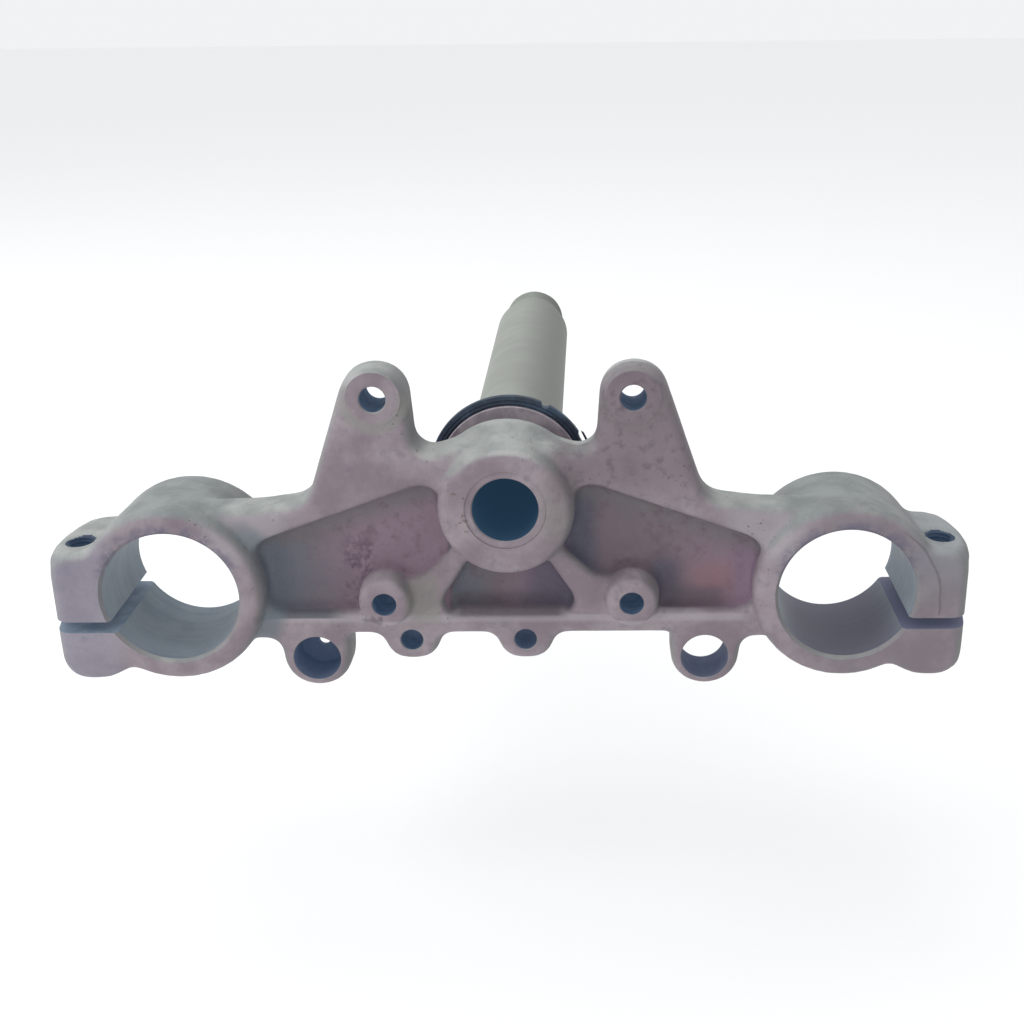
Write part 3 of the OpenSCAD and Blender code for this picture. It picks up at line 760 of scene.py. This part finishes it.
def shadeFinish():
    f = Finish("darkHole")
    # the holes' walls painted dark blue as shade, with a faint painted glow; lower holes painted lighter,
    # bluish at the left and purplish at the right
    patch = f.noise(4, 3, 0.6)
    face = f.blend(tone(66, 82, 104), tone(90, 102, 124), f.ramp(patch, 0.4, 0.66))
    low = f.ramp(f.across.also("Z"), -0.041, -0.046)
    face = f.blend(face, tone(104, 106, 126), low * f.ramp(f.across, -0.04, -0.05) * 0.6)
    face = f.blend(face, tone(102, 92, 106), low * f.ramp(f.across, -0.04, 0.04) * 0.6)
    # painted shade: upward faces in the pinch lugs' holes darker
    inLug = f.ramp(f.across.size(), 0.112, 0.116) * f.ramp(f.facing.also("Z"), -0.2, 0.5)
    face = f.blend(face, tone(56, 60, 72), inLug * 0.85)
    f.finish(baseColor=face, roughness=0.7, bump=patch, depth=0.1, specular=0.15, glow=tone(27, 42, 58))
    return f.material


def slitFinish():
    f = Finish("sawnSlit")
    # the slit walls painted a bluish shade, purpler at the right, with a faint painted glow
    patch = f.noise(5, 3, 0.6)
    face = f.blend(tone(112, 128, 142), tone(132, 146, 158), f.ramp(patch, 0.4, 0.66))
    face = f.blend(face, tone(98, 96, 120), f.ramp(f.across, -0.02, 0.02) * 0.9)
    f.finish(baseColor=face, roughness=0.6, bump=patch, depth=0.05, specular=0.3, glow=tone(44, 48, 58))
    return f.material


def inwardness(away, normal):
    # distance from an axis, and how squarely a face looks at it
    reach = np.hypot(away[:, 0], away[:, 1])
    return reach, -(away * normal).sum(1) / np.maximum(reach, 1e-6)


def markBores(piece, holes):
    # gives the walls of the holes their own finish: 1 bored, 2 dark with painted shade, 3 sawn with painted
    # bluish shade
    data = piece.data
    count = len(data.polygons)
    centre, normal = np.zeros(count * 3), np.zeros(count * 3)
    data.polygons.foreach_get("center", centre)
    data.polygons.foreach_get("normal", normal)
    centre, normal = centre.reshape(-1, 3) / mm, normal.reshape(-1, 3)
    index = np.zeros(count, int)
    for x, z, r, _ in holes:
        reach, inward = inwardness(centre[:, [0, 2]] - (x, z), normal[:, [0, 2]])
        wall = (reach < r + 0.25) & ((inward > 0.8) | (reach < r - 0.5)) & (normal[:, 1] < 0.5)
        index[wall] = 1 if r > yoke["forkR"] else 2
    lean, level = math.radians(yoke["mouthLean"]), yoke["mouthZ"] - yoke["mouth"]
    for side in ("left", "right"):
        tapped, plain = mounts["pinch_thread_" + side], mounts["pinch_hole_" + side]
        x, y, _ = (c / mm for c in tapped["pos_m"])
        away = centre - (x, y, level)
        reach, inward = inwardness(away[:, :2], normal[:, :2])
        index[(reach < plain["dims"]["r_mm"] + 0.2) & (inward > 0.3)] = 2
        forward = away[:, 1] * math.cos(lean) + away[:, 2] * math.sin(lean)
        height = away[:, 2] * math.cos(lean) - away[:, 1] * math.sin(lean)
        fromCone = np.hypot(away[:, 0], forward) - height - tapped["dims"]["r_mm"]
        index[(np.abs(fromCone) < 0.02) & (reach < yoke["mouthReach"])] = 2
    z, width = yoke["slit"]
    sawn = (np.abs(centre[:, 2] - z) < width / 2 + 0.05) & (np.abs(normal[:, 2]) > 0.9)
    index[sawn & (np.abs(centre[:, 0]) > 119)] = 3
    data.polygons.foreach_set("material_index", index.astype(np.int32))


# the steering stem
stem = {
    "around": 128,
    "edge": 0.05,
    "endY": -29.6,
    "pitch": 1.0,
    "threadEdge": 1.0,
    "spigotR": 12.0,
    "relief": (14.8, 3.2),
}


def steeringStem():
    seat, journal, thread = mounts["bearing_seat"], mounts["upper_journal"], mounts["stem_thread"]
    outer, neck, major = seat["dims"]["r_mm"], journal["dims"]["r_mm"], thread["dims"]["r_mm"]
    bore, spigot = mounts["stem_bore"]["dims"]["r_mm"], stem["spigotR"]
    low, edge, around, pitch = stem["endY"], stem["edge"], stem["around"], stem["pitch"]
    inner, foot = stem["relief"]
    plain = seat["dims"]["length_mm"] + foot
    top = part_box("steering_stem")[1].y / mm
    threadEnd = top - stem["threadEdge"]
    start = top - thread["dims"]["length_mm"] - stem["threadEdge"]
    wave = helix(pitch, 0.6 * pitch)
    profile = [(bore + 0.4, low), (spigot - edge, low), (spigot, low + edge), (spigot, 0)]
    profile += [(inner, 0), (inner, foot - 0.2), (outer, foot)]
    profile += [(outer, h) for h in levels(foot + 8, plain - 0.4, 12)]
    shoulder = plain + outer - neck
    profile += [(outer - 0.4, plain), (neck + 0.3, shoulder), (neck, shoulder + 0.3)]
    profile += [(neck, start - 0.2), (major - 0.7, start)]
    ridges = [(major, h) for h in levels(start + 0.8, threadEnd, pitch / 8)]
    lining = [(major - 0.9, top), (bore + 0.5, top), (bore, top - 0.5), (bore, low + 0.4)]

    def reach(angle, height):
        return wave(angle, height) if start + 0.7 < height < threadEnd + 0.1 else 0

    points = solidRod(profile + ridges, around, reach)[0] + solidRod(lining, around)[0]
    piece = newMesh("steeringStem", points, loopFaces(len(points) // around, around))
    outward(piece)
    rounded(piece, 30)
    for make in (steelFinish, stemBoreFinish, castFinish):
        piece.data.materials.append(make())
    for face in piece.data.polygons:
        if math.hypot(face.center.x, face.center.z) < (bore + 0.15) * mm:
            face.material_index = 1
        elif face.center.y < -0.02:
            face.material_index = 2  # the spigot's end was coated with the casting
    print("stem: turned with", len(ridges), "thread rings")
    return piece


def steelFinish():
    f = Finish("stemSteel")
    cloud, streak = f.noise(26, 4, 0.6), f.noise(40, 3, 0.6, (0.6, 6.0, 0.6))
    ground = f.noise(30, 2, 0.5, (0.2, 60.0, 0.2))
    spot = f.ramp(f.noise(2.4, 3, 0.7), 0.64, 0.76)
    face = f.blend(tone(136, 139, 133), tone(146, 150, 143), f.ramp(cloud * 0.7 + streak * 0.3, 0.38, 0.62))
    # painted shade: faces turned to the right darker
    face = f.blend(face, tone(98, 100, 96), f.ramp(f.facing, -0.3, 0.9) * 0.85)
    face = f.blend(face, tone(126, 122, 112), spot * 0.5)
    bump = ground * 0.15 + spot * 0.4
    f.finish(baseColor=face, roughness=0.45 + cloud * 0.2, metallic=0.2, bump=bump, depth=0.05)
    return f.material


def stemBoreFinish():
    f = Finish("stemBore")
    # the inside of the stem, dark navy, with a faint painted glow
    cloud = f.noise(12, 3, 0.6)
    face = f.blend(tone(34, 52, 72), tone(44, 64, 86), cloud)
    glow = tone(28, 48, 65)
    f.finish(baseColor=face, roughness=0.7 + cloud * 0.1, bump=cloud, depth=0.05, specular=0.15, glow=glow)
    return f.material


# the washer and the dust seal
seal = {
    "around": 240,
    "boreR": 15.15,
    "rimR": 25.3,
    "ridgeR": 23.1,
    "notch": [(68, 27.3), (66.5, 25.0), (64.5, 24.0), (62.0, 24.1), (60.5, 24.9), (59, 27.3)],
    "tear": [(34, 27.3), (32, 24.8), (28, 24.5), (23, 24.6), (22, 25.3), (21, 27.3)],
    "flap": [(32, 26.0), (30, 26.4), (22, 26.5), (14, 25.3), (16, 24.7), (21, 25.1), (24, 25.8)],
}


def prism(points, low, high):
    # upright wall piece of (angle, radius) points between two heights in mm
    ring = [(r * math.cos(math.radians(a)), r * math.sin(math.radians(a))) for a, r in points]
    return [(x * mm, y * mm, z * mm) for y in (low, high) for x, z in ring], rodFaces(2, len(ring))


def dustSeal():
    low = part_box("seal_washer")[1].y / mm
    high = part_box("dust_seal")[1].y / mm
    rim, ridge, bore = seal["rimR"], seal["ridgeR"], seal["boreR"]
    section = [
        (bore, low), (ridge - 0.3, low), (ridge - 0.1, low - 0.35), (ridge + 0.1, low - 0.35),
        (ridge + 0.35, low), (ridge + 0.9, low + 0.02), (ridge + 1.1, low - 0.15), (ridge + 1.3, low + 0.02),
        (rim - 0.4, low + 0.05), (rim - 0.1, low + 0.2), (rim, low + 0.5), (rim, high - 0.5),
        (rim - 0.15, high - 0.2), (rim - 0.5, high), (rim - 1.2, high), (rim - 1.6, high - 0.2),
        (rim - 3.0, high - 0.8), (bore, high - 0.8),
    ]
    piece = joined("dustSeal", [hollowRing(section, seal["around"])])
    cut(piece, joined("sealCuts", [prism(seal[gap], low - 2, high + 2) for gap in ("notch", "tear")]))
    flap = joined("sealFlap", [prism(seal["flap"], low + 0.55, high - 0.85)])
    both = [piece, flap]
    with bpy.context.temp_override(active_object=piece, object=piece, selected_editable_objects=both):
        bpy.ops.object.join()
    rounded(piece, 40)
    piece.data.materials.clear()
    piece.data.materials.append(rubberFinish())
    print("seal: ring with its notch, tear and flap")
    return piece


def rubberFinish():
    f = Finish("sealRubber")
    cloud, fine = f.noise(8, 4, 0.6), f.noise(1.0, 3, 0.7)
    face = f.blend(tone(32, 46, 64), tone(56, 74, 94), f.ramp(cloud, 0.42, 0.66))
    face = f.blend(face, tone(88, 94, 106), f.ramp(fine, 0.64, 0.76) * 0.5)
    f.finish(baseColor=face, roughness=0.5 + cloud * 0.25, bump=cloud * 0.5 + fine * 0.5, depth=0.12)
    return f.material


def washerFinish():
    f = Finish("washerSteel")
    cloud = f.noise(7, 4, 0.6)
    turned = f.noise(1.2, 2, 0.6, (1.0, 0.1, 1.0))
    face = f.blend(tone(148, 138, 146), tone(176, 166, 173), f.ramp(cloud, 0.38, 0.64))
    f.finish(baseColor=face, roughness=0.45 + cloud * 0.2, metallic=0.5, bump=turned, depth=0.03)
    return f.material


# putting it together
setCamera()
setStudio()

yokePiece, yokeHoles = castYoke()
yokePiece.data.materials.clear()
for make in (castFinish, boreFinish, shadeFinish, slitFinish):
    yokePiece.data.materials.append(make())
markBores(yokePiece, yokeHoles)
for piece, node, slotName in (
    (yokePiece, "lower_yoke", "cast_aluminium"),
    (steeringStem(), "steering_stem", "stem_steel"),
    (dustSeal(), "dust_seal", "seal_rubber"),
):
    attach(piece, "root")
    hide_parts(node)
washer = frame["nodes"]["seal_washer"]
washer.data.materials.clear()
washer.data.materials.append(washerFinish())
print("pieces placed")
